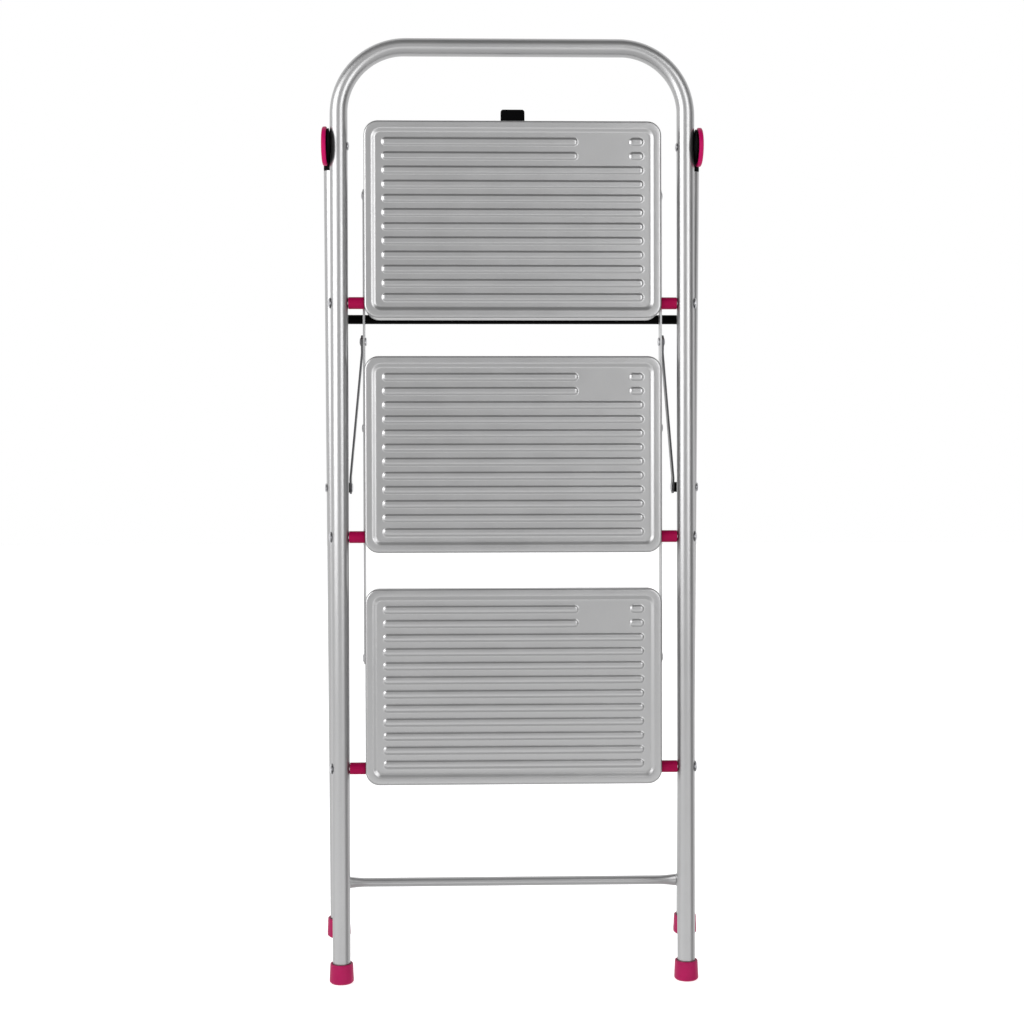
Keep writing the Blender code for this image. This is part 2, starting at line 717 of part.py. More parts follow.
def links(steel, bright_steel):
    levels = [PIVOT_Z[level] + RIVET_Z for level in TREAD_NAMES]
    for side, sign in SIDES.items():
        outline = bar_outline((RIVET_Y, levels[-1]), (RIVET_Y, levels[0]), BAR_HALF_WIDTH)
        low, high = sorted((sign * LINK_X, sign * (LINK_X + BAR_THICKNESS)))
        bar = side_slab(outline, low, high)
        holes = [
            rod_across(RIVET_Y, z, RIVET_RADIUS + HOLE_PLAY, low - GAP, high + GAP)
            for z in [*levels, BRACE_TOP_Z]
        ]
        hang(cut(bar, *holes), "link_bar_" + side, "link", steel)
        inner = TREAD_HALF_WIDTH - TREAD_SHEET - GAP
        outer = LINK_X + BAR_THICKNESS + GAP
        for level, z in zip(TREAD_NAMES, levels):
            name = "link_rivet_" + level + "_" + side
            hang(rivet(sign, RIVET_Y, z, inner, outer), name, "link", bright_steel)
        hang(brace_stud(sign), "brace_stud_" + side, "link", bright_steel)


def joggled(obj, sign, start, end):
    """Slants a flat bar sideways between its two flat ends."""
    direction = Vector((0, *end)) - Vector((0, *start))
    shape = bmesh.new()
    shape.from_mesh(obj.data)
    ramp_low, ramp_high = BRACE_JOGGLE
    for share in BRACE_JOGGLE:
        everything = shape.verts[:] + shape.edges[:] + shape.faces[:]
        point = Vector((0, *start)) + direction * share
        bmesh.ops.bisect_plane(shape, geom=everything, plane_co=point, plane_no=direction)
    for vert in shape.verts:
        along = (vert.co - Vector((0, *start))).dot(direction) / direction.length_squared
        ramp = min(max((along - ramp_low) / (ramp_high - ramp_low), 0), 1)
        vert.co.x += sign * (BRACE_FOOT_X - BRACE_TOP_X) * ramp
    shape.to_mesh(obj.data)
    shape.free()
    return obj


def braces(dark_steel, bright_steel):
    start = (RIVET_Y, BRACE_TOP_Z)
    end = PIVOTS["brace"]
    for side, sign in SIDES.items():
        low, high = sorted((sign * BRACE_TOP_X, sign * (BRACE_TOP_X + BAR_THICKNESS)))
        flat = side_slab(bar_outline(start, end, BAR_HALF_WIDTH), low, high)
        top_hole = rod_across(*start, RIVET_RADIUS + HOLE_PLAY, low - GAP, high + GAP)
        foot_hole = rod_across(*end, BRACE_PIN_RADIUS + HOLE_PLAY, low - GAP, high + GAP)
        bar = joggled(cut(flat, top_hole, foot_hole), sign, start, end)
        hang(bar, "brace_bar_" + side, "brace", dark_steel)
        top = BRACE_TOP_X + BAR_THICKNESS + GAP
        profile = (
            (0, top + RIVET_HEAD_HEIGHT),
            (RIVET_HEAD_RADIUS * 0.6, top + RIVET_HEAD_HEIGHT),
            (RIVET_HEAD_RADIUS, top + RIVET_HEAD_HEIGHT * 0.4),
            (RIVET_HEAD_RADIUS, top),
            (RIVET_RADIUS, top),
            (RIVET_RADIUS, BRACE_TOP_X),
            (0, BRACE_TOP_X),
        )
        hang(
            turned(profile, False, along_x(sign, *start), sides=SMALL_SIDES),
            "brace_rivet_" + side,
            "brace",
            bright_steel,
        )


# ---------------------------------------------------------------- platform latch


def latch_bore(pin_z):
    reach = LATCH_EAR_X[1] + TREAD_SHEET
    return rod_across(LATCH_PIN_Y, pin_z, LATCH_PIN_RADIUS + HOLE_PLAY, -reach, reach)


def latch(black, steel, bright_steel):
    """The sprung lever whose hook holds the open platform down on the upper crossbar."""
    base = PIVOT_Z["top"]
    pin_z = base + LATCH_PIN_Z
    panel_y = TREAD_FACE_Y + TREAD_RECESS + TREAD_SHEET + GAP
    low_z, high_z = (pin_z + z for z in LATCH_EAR_Z)

    arm = side_slab(
        [(y, base + z) for y, z in LATCH_HOOK], -LATCH_ARM_HALF_WIDTH, LATCH_ARM_HALF_WIDTH
    )
    tab_outline = rounded_rectangle(
        LATCH_TAB_HALF_WIDTH, base + LATCH_TAB_Z[0], base + LATCH_TAB_Z[1], LATCH_TAB_CORNER
    )
    lever = fuse(arm, slab(tab_outline, *LATCH_TAB_Y))
    hang(cut(lever, latch_bore(pin_z)), "latch_lever", "latch", black)

    inner, outer = LATCH_EAR_X
    bracket = block((-outer, panel_y, low_z), (outer, LATCH_EAR_Y, high_z))
    hollow = block((-inner, panel_y + TREAD_SHEET, low_z - outer), (inner, outer, high_z + outer))
    relief = block((-inner, panel_y - outer, pin_z), (inner, outer, high_z + outer))
    hang(cut(bracket, hollow, relief, latch_bore(pin_z)), "latch_bracket", "tread_top", steel)

    pin_end = outer + TREAD_SHEET
    pin = rod_across(LATCH_PIN_Y, pin_z, LATCH_PIN_RADIUS, -pin_end, pin_end)
    hang(pin, "latch_pin", "tread_top", bright_steel)


clear_scene()
STOOL = add_collection("step_stool")
EMPTIES = add_pivots(STOOL)

silver = make_material("silver_paint", (0.42, 0.42, 0.43), 0.36, 0.85)
dark = make_material("dark_steel", (0.18, 0.18, 0.19), 0.42, 0.90)
bright = make_material("bright_steel", (0.62, 0.62, 0.64), 0.28, 1.00)
magenta = make_material("magenta_plastic", (0.37, 0.011, 0.089), 0.38, 0.0)
rubber_pink = make_material("magenta_rubber", (0.34, 0.010, 0.082), 0.55, 0.0)
black_plastic = make_material("black_plastic", (0.012, 0.012, 0.013), 0.45, 0.0)

front_tube(silver)
front_feet(rubber_pink)
tread_fasteners(bright, magenta)
hinge_rivets(bright)
hinge_saddles(black_plastic)
rear_legs(silver)
rear_feet(rubber_pink)
crossbars(silver, black_plastic)
hinge_brackets(black_plastic)
hinge_caps(magenta)
brace_pins(bright, black_plastic)
treads(silver)
links(silver, bright)
braces(dark, bright)
latch(black_plastic, silver, bright)
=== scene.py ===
"""The looks of the folding step stool: smooth painted tubes, pressed ribbed treads and moulded fittings.

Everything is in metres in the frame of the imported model, where +Z is up and the treads face -Y.
"""

import math

import bmesh
import bpy
import numpy as np
from mathutils import Matrix, Vector

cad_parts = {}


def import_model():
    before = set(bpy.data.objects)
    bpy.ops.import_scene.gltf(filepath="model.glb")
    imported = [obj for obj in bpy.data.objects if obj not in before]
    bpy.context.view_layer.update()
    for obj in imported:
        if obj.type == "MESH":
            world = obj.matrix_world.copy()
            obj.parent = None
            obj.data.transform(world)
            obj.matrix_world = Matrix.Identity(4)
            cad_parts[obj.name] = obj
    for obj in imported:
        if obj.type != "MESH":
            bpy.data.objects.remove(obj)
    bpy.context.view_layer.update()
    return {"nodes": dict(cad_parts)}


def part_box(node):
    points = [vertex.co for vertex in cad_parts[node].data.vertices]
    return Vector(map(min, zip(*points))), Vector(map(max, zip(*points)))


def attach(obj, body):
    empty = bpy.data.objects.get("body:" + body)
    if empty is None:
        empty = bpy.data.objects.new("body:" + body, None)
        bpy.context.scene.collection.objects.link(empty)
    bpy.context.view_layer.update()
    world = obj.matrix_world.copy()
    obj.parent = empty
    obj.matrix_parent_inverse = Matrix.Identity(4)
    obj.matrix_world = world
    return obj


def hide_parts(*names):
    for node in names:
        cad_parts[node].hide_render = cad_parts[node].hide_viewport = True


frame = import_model()
NODES = frame["nodes"]

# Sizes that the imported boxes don't give
TUBE_RADIUS = 0.0095
HANDLE_BEND = 0.071
HANDLE_FLATTENING = 0.045  # how much of its width the tube loses in the middle of a bend
CROSSBAR_RADIUS = 0.005
CROSSBAR_GAP = 0.0012  # that a crossbar's tube stops short of the ends of its node
CROSSBAR_PRESSED = 0.020  # length of a crossbar's flattened end
WELD_RADIUS = 0.0012

FOOT_BELOW_TUBE = 0.0043  # from the tube's end down to the sole
FOOT_RADIUS = 0.013
FOOT_TOP_RADIUS = 0.0122
FOOT_SOLE_RADIUS = 0.0112
FOOT_HEIGHT = 0.021
FOOT_BORE = 0.0097
FOOT_SOLE = 0.004  # thickness under the tube

TREAD_CORNER = 0.015
TREAD_ROUNDING = 0.0024
TREAD_SHEET = 0.001
CORNER_STEPS = 9
PANEL_CORNER = 0.018  # inset of the point that the sunk panel's corners turn about
STEP_START, STEP_END = 0.0070, 0.0130  # the sunk panel's sloping edge, as insets from the outline
STEP_DEPTH = 0.0020
SKIRT_DEPTH = 0.0310
LIP_DEPTH = 0.0250
REAR_SKIRT_DEPTH = 0.0176
SKIRT_TAPER = (0.1399, 0.1599)  # measured up from the tread's front edge
NOTCH_DEPTH = 0.0025  # of the skirt left above the platform latch
NOTCH_REACH = 0.0137  # half the latch notch's width
NOTCH_SIDE = 0.0004  # width over which the skirt drops to its full depth

RIB_COUNT = 12
RIB_PITCH = 0.01502
RIB_FIRST = 0.0224  # from the tread's rear edge to the first rib
RIB_END = 0.1402
RIB_HALF_WIDTH = 0.0050
RIB_CROWN = 0.0020
RIB_HEIGHT = 0.0015
RIB_SHORTENED = 2  # this many ribs stop short beside a blank area and go on as a dash behind it
BLANK_AREA = (0.0700, 0.1235)

SPACER_BORE, SPACER_RADIUS = 0.0034, 0.0064
BUSH_BORE, BUSH_RADIUS = 0.0032, 0.0055
BOLT_HEAD, BOLT_HEAD_HEIGHT, BOLT_SHANK = 0.006, 0.0022, 0.003
SMALL_HEAD, SMALL_SHANK, SMALL_HEIGHT = 0.0045, 0.0023, 0.0014  # the link, brace and stud rivets
PIN_HEAD, PIN_SHANK, PIN_HEIGHT = 0.005, 0.003, 0.0013
HINGE_SHANK = 0.0025
CAP_BORE, CAP_BORE_DEPTH = 0.007, 0.0031

SIDES = {"left": -1, "right": 1}
LEVELS = ("top", "middle", "bottom")


# ---------------------------------------------------------------- materials


def new_material(name):
    material = bpy.data.materials.new(name)
    material.use_nodes = True
    tree = material.node_tree
    return material, tree, tree.nodes["Principled BSDF"]


def noise(tree, scale, detail):
    """A noise texture in the object's own coordinates."""
    place = tree.nodes.new("ShaderNodeTexCoord")
    texture = tree.nodes.new("ShaderNodeTexNoise")
    texture.inputs["Scale"].default_value = scale
    texture.inputs["Detail"].default_value = detail
    tree.links.new(place.outputs["Object"], texture.inputs["Vector"])
    return texture.outputs["Fac"]


def ramp(tree, value, low, high, start=0.3, end=0.7):
    """Turns a 0 to 1 value into a colour, or a number if low and high are numbers."""
    node = tree.nodes.new("ShaderNodeMapRange" if isinstance(low, float) else "ShaderNodeValToRGB")
    tree.links.new(value, node.inputs[0])
    if isinstance(low, float):
        for socket, number in zip(("From Min", "From Max", "To Min", "To Max"), (start, end, low, high)):
            node.inputs[socket].default_value = number
        return node.outputs["Result"]
    for element, position, colour in zip(node.color_ramp.elements, (start, end), (low, high)):
        element.position = position
        element.color = (*colour, 1)
    return node.outputs["Color"]


def mixed(tree, blend, factor, first, second):
    node = tree.nodes.new("ShaderNodeMix")
    node.data_type = "RGBA"
    node.blend_type = blend
    for socket, value in (("Factor", factor), ("A", first), ("B", second)):
        if isinstance(value, bpy.types.NodeSocket):
            tree.links.new(value, node.inputs[socket])
        else:
            node.inputs[socket].default_value = value
    return node.outputs["Result"]


def add_bump(tree, shader, height, strength, distance):
    bump = tree.nodes.new("ShaderNodeBump")
    bump.inputs["Strength"].default_value = strength
    bump.inputs["Distance"].default_value = distance
    tree.links.new(height, bump.inputs["Height"])
    tree.links.new(bump.outputs["Normal"], shader.inputs["Normal"])


def shade(colour, factor):
    return tuple(channel * factor for channel in colour)


def surface(name, colour, spread, roughness, metallic, colour_scale, grain_scale, grain, gloss=0.5):
    """A finish whose colour and roughness drift slowly, with a fine grain in its surface."""
    material, tree, shader = new_material(name)
    drift = noise(tree, colour_scale, 5.0)
    base = ramp(tree, drift, shade(colour, 1 - spread), shade(colour, 1 + spread))
    tree.links.new(base, shader.inputs["Base Color"])
    wear = noise(tree, colour_scale * 2.3, 3.0)
    tree.links.new(ramp(tree, wear, *roughness), shader.inputs["Roughness"])
    shader.inputs["Metallic"].default_value = metallic
    shader.inputs["Specular IOR Level"].default_value = gloss
    add_bump(tree, shader, noise(tree, grain_scale, 3.0), grain, 0.0004)
    return material


def silver_paint(name, colour):
    """Metallic silver paint: fine flakes under a thin clear coat with a little orange peel."""
    material, tree, shader = new_material(name)
    flake = noise(tree, 2600.0, 2.0)
    drift = noise(tree, 9.0, 1.0)
    base = ramp(tree, flake, shade(colour, 0.94), shade(colour, 1.06), 0.25, 0.75)
    tint = ramp(tree, drift, shade((1, 1, 1), 0.98), (1.0, 1.0, 1.0), 0.3, 0.7)
    tree.links.new(mixed(tree, "MULTIPLY", 1.0, base, tint), shader.inputs["Base Color"])
    tree.links.new(ramp(tree, noise(tree, 35.0, 1.0), 0.31, 0.35), shader.inputs["Roughness"])
    shader.inputs["Metallic"].default_value = 0.92
    shader.inputs["Coat Weight"].default_value = 0.12
    shader.inputs["Coat Roughness"].default_value = 0.20
    add_bump(tree, shader, noise(tree, 600.0, 1.0), 0.03, 0.0003)
    return material


SILVER = silver_paint("silver_paint", (0.44, 0.44, 0.443))
LINK_SILVER = silver_paint("link_silver_paint", (0.50, 0.50, 0.505))
# Painted shade: the brace bars' steel is coloured dark for the shadow it lies in behind the front tube.
BRACE_SHADE_PAINT = surface("brace_painted_shade", (0.10, 0.10, 0.105), 0.08, (0.30, 0.42), 0.85, 30.0, 900.0, 0.10)
BRIGHT = surface("zinc_plate", (0.62, 0.62, 0.64), 0.10, (0.22, 0.36), 1.0, 120.0, 1500.0, 0.10)
PINK = surface(
    "magenta_plastic", (0.245, 0.0020, 0.042), 0.05, (0.30, 0.40), 0.0, 40.0, 900.0, 0.10, gloss=0.05
)
PINK_CAP = surface(
    "magenta_cap", (0.370, 0.0026, 0.076), 0.05, (0.30, 0.40), 0.0, 40.0, 900.0, 0.10, gloss=0.09
)
PINK_RUBBER = surface(
    "magenta_rubber", (0.330, 0.0045, 0.072), 0.07, (0.28, 0.40), 0.0, 55.0, 1300.0, 0.22, gloss=0.16
)
BLACK = surface(
    "black_plastic", (0.0015, 0.0015, 0.0016), 0.15, (0.36, 0.50), 0.0, 60.0, 1700.0, 0.35, gloss=0.02
)


# ---------------------------------------------------------------- meshes


def add_piece(name, mesh, material, body, node=None):
    """A finished piece that rides on a body and stands for its CAD node."""
    obj = bpy.data.objects.new(name, mesh)
    bpy.context.scene.collection.objects.link(obj)
    mesh.materials.append(material)
    mesh.shade_smooth()
    mesh.set_sharp_from_angle(angle=math.radians(50))
    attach(obj, body)
    if node:
        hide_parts(node)
    return obj


def finish_mesh(shape, name):
    bmesh.ops.remove_doubles(shape, verts=shape.verts, dist=1e-6)
    bmesh.ops.recalc_face_normals(shape, faces=shape.faces)
    mesh = bpy.data.meshes.new(name)
    shape.to_mesh(mesh)
    shape.free()
    return mesh


def bridge(shape, first, second, closed=True):
    """Quads between two rows of vertices."""
    count = len(first)
    for i in range(count if closed else count - 1):
        j = (i + 1) % count
        corners = dict.fromkeys((first[i], first[j], second[j], second[i]))
        if len(corners) > 2:
            shape.faces.new(list(corners))


def turned_mesh(name, profile, place, sides=48):
    """A turned shape from (radius, height) points about the z of place, from axis to axis or closed."""
    shape = bmesh.new()
    rows = []
    for radius, height in profile:
        if radius < 1e-7:
            rows.append([shape.verts.new(place @ Vector((0, 0, height)))] * sides)
            continue
        angles = [2 * math.pi * i / sides for i in range(sides)]
        ring = [Vector((radius * math.cos(a), radius * math.sin(a), height)) for a in angles]
        rows.append([shape.verts.new(place @ point) for point in ring])
    loop = profile[0][0] > 1e-7
    for first, second in zip(rows, rows[1:] + rows[:1] if loop else rows[1:]):
        bridge(shape, first, second)
    return finish_mesh(shape, name)


def rounded(points, radius, steps=4):
    """An outline whose inner corners are rounded, for a profile between its two end points."""
    result = [Vector(points[0])]
    for before, corner, after in zip(points, points[1:], points[2:]):
        before, corner, after = Vector(before), Vector(corner), Vector(after)
        into, out = before - corner, after - corner
        reach = min(radius, into.length * 0.49, out.length * 0.49)
        start, end = corner + into.normalized() * reach, corner + out.normalized() * reach
        for i in range(steps + 1):
            t = i / steps
            result.append(start * (1 - t) ** 2 + corner * 2 * t * (1 - t) + end * t * t)
    result.append(Vector(points[-1]))
    return [(p.x, p.y) for p in result]


def along_x(sign, centre):
    """A place whose z axis points outwards along X, with its origin on the stool's middle plane."""
    return Matrix.Translation((0, centre.y, centre.z)) @ Matrix.Rotation(sign * math.pi / 2, 4, "Y")


def centre_of(node):
    low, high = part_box(node)
    return (low + high) / 2


def span_x(node):
    """How near to and how far from the middle plane a side piece reaches."""
    low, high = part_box(node)
    return tuple(sorted((abs(low.x), abs(high.x))))


def sweep(name, path, section, sides=56):
    """A tube along a path in a plane of constant x or y. section(share) gives its two radii."""
    shape = bmesh.new()
    path = [Vector(p) for p in path]
    lengths = [0.0]
    for a, b in zip(path, path[1:]):
        lengths.append(lengths[-1] + (b - a).length)
    steady = (path[1] - path[0]).cross(path[-1] - path[len(path) // 2])
    steady = Vector((0, 1, 0)) if steady.length < 1e-9 else steady.normalized()
    rows = []
    for i, point in enumerate(path):
        ahead = (path[min(i + 1, len(path) - 1)] - path[max(i - 1, 0)]).normalized()
        side = ahead.cross(steady).normalized()
        other = ahead.cross(side).normalized()
        wide, deep = section(lengths[i] / lengths[-1])
        angles = [2 * math.pi * k / sides for k in range(sides)]
        ring = [point + side * wide * math.cos(a) + other * deep * math.sin(a) for a in angles]
        rows.append([shape.verts.new(p) for p in ring])
    for first, second in zip(rows, rows[1:]):
        bridge(shape, first, second)
    shape.faces.new(rows[0])
    shape.faces.new(rows[-1])
    return finish_mesh(shape, name)


# ---------------------------------------------------------------- frames


def quarter_bend(centre_x, y, centre_z, start):
    """Points clockwise round a quarter of the handle's bend, from an angle in quarter turns."""
    steps = 28
    angles = [(start - i / steps) * math.pi / 2 for i in range(steps + 1)]
    return [
        (centre_x + HANDLE_BEND * math.cos(a), y, centre_z + HANDLE_BEND * math.sin(a)) for a in angles
    ]


def front_tube():
    low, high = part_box("front_tube")
    axis_x, axis_y = high.x - TUBE_RADIUS, (low.y + high.y) / 2
    bend_z = high.z - TUBE_RADIUS - HANDLE_BEND
    bend_x = axis_x - HANDLE_BEND
    straight = bend_z - low.z
    path = [(-axis_x, axis_y, low.z + straight * i / 30) for i in range(30)]
    path += quarter_bend(-bend_x, axis_y, bend_z, 2)
    path += [(-bend_x + 2 * bend_x * i / 16, axis_y, bend_z + HANDLE_BEND) for i in range(1, 16)]
    path += quarter_bend(bend_x, axis_y, bend_z, 1)
    path += [(axis_x, axis_y, bend_z - straight * i / 30) for i in range(1, 31)]
    bend = HANDLE_BEND * math.pi / 2
    total = 2 * (straight + bend + bend_x)

    def section(share):
        """The bent stretches are squeezed a little in the plane of the bend."""
        along = min(share, 1 - share) * total
        inside = min(max((along - straight) / bend, 0), 1)
        squeeze = HANDLE_FLATTENING * math.sin(math.pi * inside) ** 0.7
        return TUBE_RADIUS * (1 - squeeze), TUBE_RADIUS

    mesh = sweep("front_tube_painted", path, section)
    add_piece("front_tube_painted", mesh, SILVER, "front_frame", "front_tube")


def leg_axis(side):
    """The two ends of a rear leg's axis. Its lean is found by repeating, from the box round the leg."""
    low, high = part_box("rear_leg_" + side)
    x = (low.x + high.x) / 2
    lean = 0.0
    for _ in range(4):
        rise = high.z - low.z - 2 * TUBE_RADIUS * math.sin(lean)
        run = high.y - low.y - 2 * TUBE_RADIUS * math.cos(lean)
        lean = math.atan2(run, rise)
    reach = Vector((0, TUBE_RADIUS * math.cos(lean), TUBE_RADIUS * math.sin(lean)))
    top = Vector((x, low.y, high.z)) + Vector((0, reach.y, -reach.z))
    bottom = Vector((x, high.y, low.z)) + Vector((0, -reach.y, reach.z))
    return top, bottom


def rear_legs():
    for side in SIDES:
        top, bottom = leg_axis(side)
        path = [top.lerp(bottom, i / 24) for i in range(25)]
        name = "rear_leg_painted_" + side
        mesh = sweep(name, path, lambda share: (TUBE_RADIUS, TUBE_RADIUS))
        add_piece(name, mesh, SILVER, "rear_frame", "rear_leg_" + side)


def crossbars():
    for name, flare, finish, slot in (
        # Painted shade: the upper crossbar is drawn in black plastic for the deep shade it sits in behind
        # the top tread.
        ("upper_crossbar", 0.0, BLACK, "black_plastic"),
        ("lower_crossbar", 0.32, SILVER, "silver_paint"),
    ):
        low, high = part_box(name)
        y, z = (low.y + high.y) / 2, (low.z + high.z) / 2
        reach = high.x - CROSSBAR_GAP
        path = [(-reach + 2 * reach * i / 80, y, z) for i in range(81)]

        def section(share, reach=reach, flare=flare):
            """The ends are pressed flatter and so stand a little higher."""
            from_end = min(share, 1 - share) * 2 * reach
            press = flare * max(0.0, 1 - from_end / CROSSBAR_PRESSED) ** 1.4
            return CROSSBAR_RADIUS * (1 + press), CROSSBAR_RADIUS * (1 - press * 0.9)

        mesh = sweep(name + "_painted", path, section, 40)
        add_piece(name + "_painted", mesh, finish, "rear_frame", name)
        if finish is SILVER:
            for side, sign in SIDES.items():
                weld_bead(name, side, sign, Vector((sign * reach, y, z)))


def weld_bead(bar, side, sign, end):
    """A small irregular fillet where a crossbar meets its leg."""
    shape = bmesh.new()
    around, across = 44, 9
    ring_radius = CROSSBAR_RADIUS + WELD_RADIUS / 3
    along = Vector((1.1, 0, 0))  # a little wider along the crossbar than out from it
    rows = []
    for i in range(around):
        a = 2 * math.pi * i / around
        outward = Vector((0, math.cos(a), math.sin(a)))
        drop = TUBE_RADIUS - math.sqrt(TUBE_RADIUS**2 - (ring_radius * math.cos(a)) ** 2)
        core = end + outward * ring_radius + Vector((sign * (drop - WELD_RADIUS / 2), 0, 0))
        size = WELD_RADIUS * (1 + 0.10 * math.sin(9 * a) + 0.06 * math.sin(17 * a + 1))
        turns = [2 * math.pi * k / across for k in range(across)]
        ring = [core + outward * size * math.cos(b) + along * size * math.sin(b) for b in turns]
        rows.append([shape.verts.new(p) for p in ring])
    for first, second in zip(rows, rows[1:] + rows[:1]):
        bridge(shape, first, second)
    name = bar + "_weld_" + side
    add_piece(name, finish_mesh(shape, name), SILVER, "rear_frame")


def foot_profile():
    """A rubber cup with a soft rolled lip and a rounded sole."""
    outside = [
        (FOOT_BORE, FOOT_HEIGHT - 0.0016),
        (FOOT_BORE + 0.0003, FOOT_HEIGHT),
        (FOOT_TOP_RADIUS, FOOT_HEIGHT),
        (FOOT_TOP_RADIUS + 0.0002, FOOT_HEIGHT * 0.86),
        (FOOT_TOP_RADIUS + 0.00045, FOOT_HEIGHT * 0.55),
        (FOOT_RADIUS, FOOT_HEIGHT * 0.20),
        (FOOT_RADIUS, 0.0016),
        (FOOT_SOLE_RADIUS, 0),
    ]
    return [(0, FOOT_SOLE), (FOOT_BORE, FOOT_SOLE), *rounded(outside, 0.0009, 5), (0, 0)]


def foot_place(frame_name, side):
    """Where a foot's sole is centred, with the z axis up its tube."""
    if frame_name == "front":
        low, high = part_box("front_foot_" + side)
        return Matrix.Translation(((low.x + high.x) / 2, (low.y + high.y) / 2, low.z))
    top, bottom = leg_axis(side)
    down = (bottom - top).normalized()
    turn = Vector((0, 0, 1)).rotation_difference(-down).to_matrix().to_4x4()
    return Matrix.Translation(bottom + down * FOOT_BELOW_TUBE) @ turn


def feet():
    for frame_name in ("front", "rear"):
        for side in SIDES:
            node = frame_name + "_foot_" + side
            mesh = turned_mesh(node + "_cup", foot_profile(), foot_place(frame_name, side), 64)
            add_piece(node + "_cup", mesh, PINK_RUBBER, frame_name + "_frame", node)


# ---------------------------------------------------------------- treads


def rib_height(x, from_rear):
    """How far the pressed ribs stand out of the tread's panel at each point."""
    height = np.zeros_like(x)
    for index in range(RIB_COUNT):
        spans = [(-RIB_END, RIB_END)]
        if index < RIB_SHORTENED:
            spans = [(-RIB_END, BLANK_AREA[0]), (BLANK_AREA[1], RIB_END)]
        for start, end in spans:
            inner_start, inner_end = start + RIB_HALF_WIDTH, end - RIB_HALF_WIDTH
            aside = x - np.clip(x, inner_start, inner_end)
            away = np.hypot(aside, from_rear - RIB_FIRST - index * RIB_PITCH)
            slope = np.clip((away - RIB_CROWN) / (RIB_HALF_WIDTH - RIB_CROWN), 0, 1)
            crown = 1 - 0.10 * np.clip(away / RIB_CROWN, 0, 1) ** 2
            height = np.maximum(height, RIB_HEIGHT * crown * (1 + np.cos(np.pi * slope)) / 2)
    return height


def lines_around(places, reach, count):
    """Grid lines packed closely round each place."""
    return [place + reach * (2 * i / (count - 1) - 1) for place in places for i in range(count)]


def spaced(lines, low, high, widest, nearest=0.00035):
    """The lines between low and high, thinned where they crowd and filled in where they are far apart."""
    inside = sorted(line for line in lines if low + nearest < line < high - nearest)
    kept = [low]
    for line in inside:
        if line - kept[-1] >= nearest:
            kept.append(line)
    kept.append(high)
    result = [low]
    for start, end in zip(kept, kept[1:]):
        parts = max(1, math.ceil((end - start) / widest))
        result += [start + (end - start) * i / parts for i in range(1, parts + 1)]
    return result


def tread_grid(low, high):
    """The x and z lines of the panel inside the tread's corner points."""
    ends = [-RIB_END + RIB_HALF_WIDTH / 2, RIB_END - RIB_HALF_WIDTH / 2]
    ends += [BLANK_AREA[0] - RIB_HALF_WIDTH / 2, BLANK_AREA[1] + RIB_HALF_WIDTH / 2]
    notch = [side * reach for side in (-1, 1) for reach in (NOTCH_REACH, NOTCH_REACH - NOTCH_SIDE)]
    lines = lines_around(ends, 0.0040, 17) + notch
    xs = spaced(lines, low.x + PANEL_CORNER, high.x - PANEL_CORNER, 0.012)
    centres = [high.z - RIB_FIRST - i * RIB_PITCH for i in range(RIB_COUNT)]
    shoulders = [c + side * (RIB_CROWN + RIB_HALF_WIDTH) / 2 for c in centres for side in (-1, 1)]
    zs = spaced(
        lines_around(shoulders, 0.0018, 9) + centres, low.z + PANEL_CORNER, high.z - PANEL_CORNER, 0.003
    )
    return xs, zs


def corner_radius(inset):
    """The outline's corners are rounder than the panel's, which turn about a point further in."""
    share = min(max((inset - TREAD_ROUNDING) / (STEP_START - TREAD_ROUNDING), 0), 1)
    return TREAD_CORNER + (PANEL_CORNER - TREAD_CORNER) * share - inset


def ring_outline(low, high, xs, zs, inset):
    """Points round the tread at an inset: along each straight side, then round each corner."""
    radius = corner_radius(inset)
    left, right = low.x + inset + radius, high.x - inset - radius
    front, rear = low.z + inset + radius, high.z - inset - radius

    def corner(x, z, start):
        angles = [math.radians(start + 90 * i / CORNER_STEPS) for i in range(CORNER_STEPS + 1)]
        return [(x + radius * math.cos(a), z + radius * math.sin(a)) for a in angles]

    points = [(x, low.z + inset) for x in xs] + corner(right, front, -90)
    points += [(high.x - inset, z) for z in zs] + corner(right, rear, 0)
    points += [(x, high.z - inset) for x in reversed(xs)] + corner(left, rear, 90)
    return points + [(low.x + inset, z) for z in reversed(zs)] + corner(left, front, 180)


def skirt_depth(low, x, z, notch_from):
    """How deep the bent-back skirt is at a point on the outline, notched for the latch above notch_from."""
    taper_start, taper_end = (low.z + t for t in SKIRT_TAPER)
    taper = min(max((z - taper_start) / (taper_end - taper_start), 0), 1)
    depth = SKIRT_DEPTH + (REAR_SKIRT_DEPTH - SKIRT_DEPTH) * taper
    lip = min(max((low.z + TREAD_CORNER * 0.6 - z) / (TREAD_CORNER * 0.5), 0), 1)
    depth += (LIP_DEPTH - SKIRT_DEPTH) * lip
    if z > notch_from:
        aside = min(max((NOTCH_REACH - abs(x)) / NOTCH_SIDE, 0), 1)
        depth += (NOTCH_DEPTH - depth) * aside
    return depth


def tread_section():
    """The pressed edge as (inset, depth), from the bend into the skirt to the flat panel."""
    section = []
    for i in range(7):
        angle = math.radians(90 * i / 6)
        section.append((TREAD_ROUNDING * (1 - math.cos(angle)), TREAD_ROUNDING * (1 - math.sin(angle))))
    section.append(((TREAD_ROUNDING + STEP_START) / 2, 0.0))
    for i in range(13):
        share = i / 12
        ease = share * share * (3 - 2 * share)
        section.append((STEP_START + (STEP_END - STEP_START) * share, STEP_DEPTH * ease))
    return section + [(STEP_END + (PANEL_CORNER - STEP_END) * i / 4, STEP_DEPTH) for i in (1, 2, 3)]


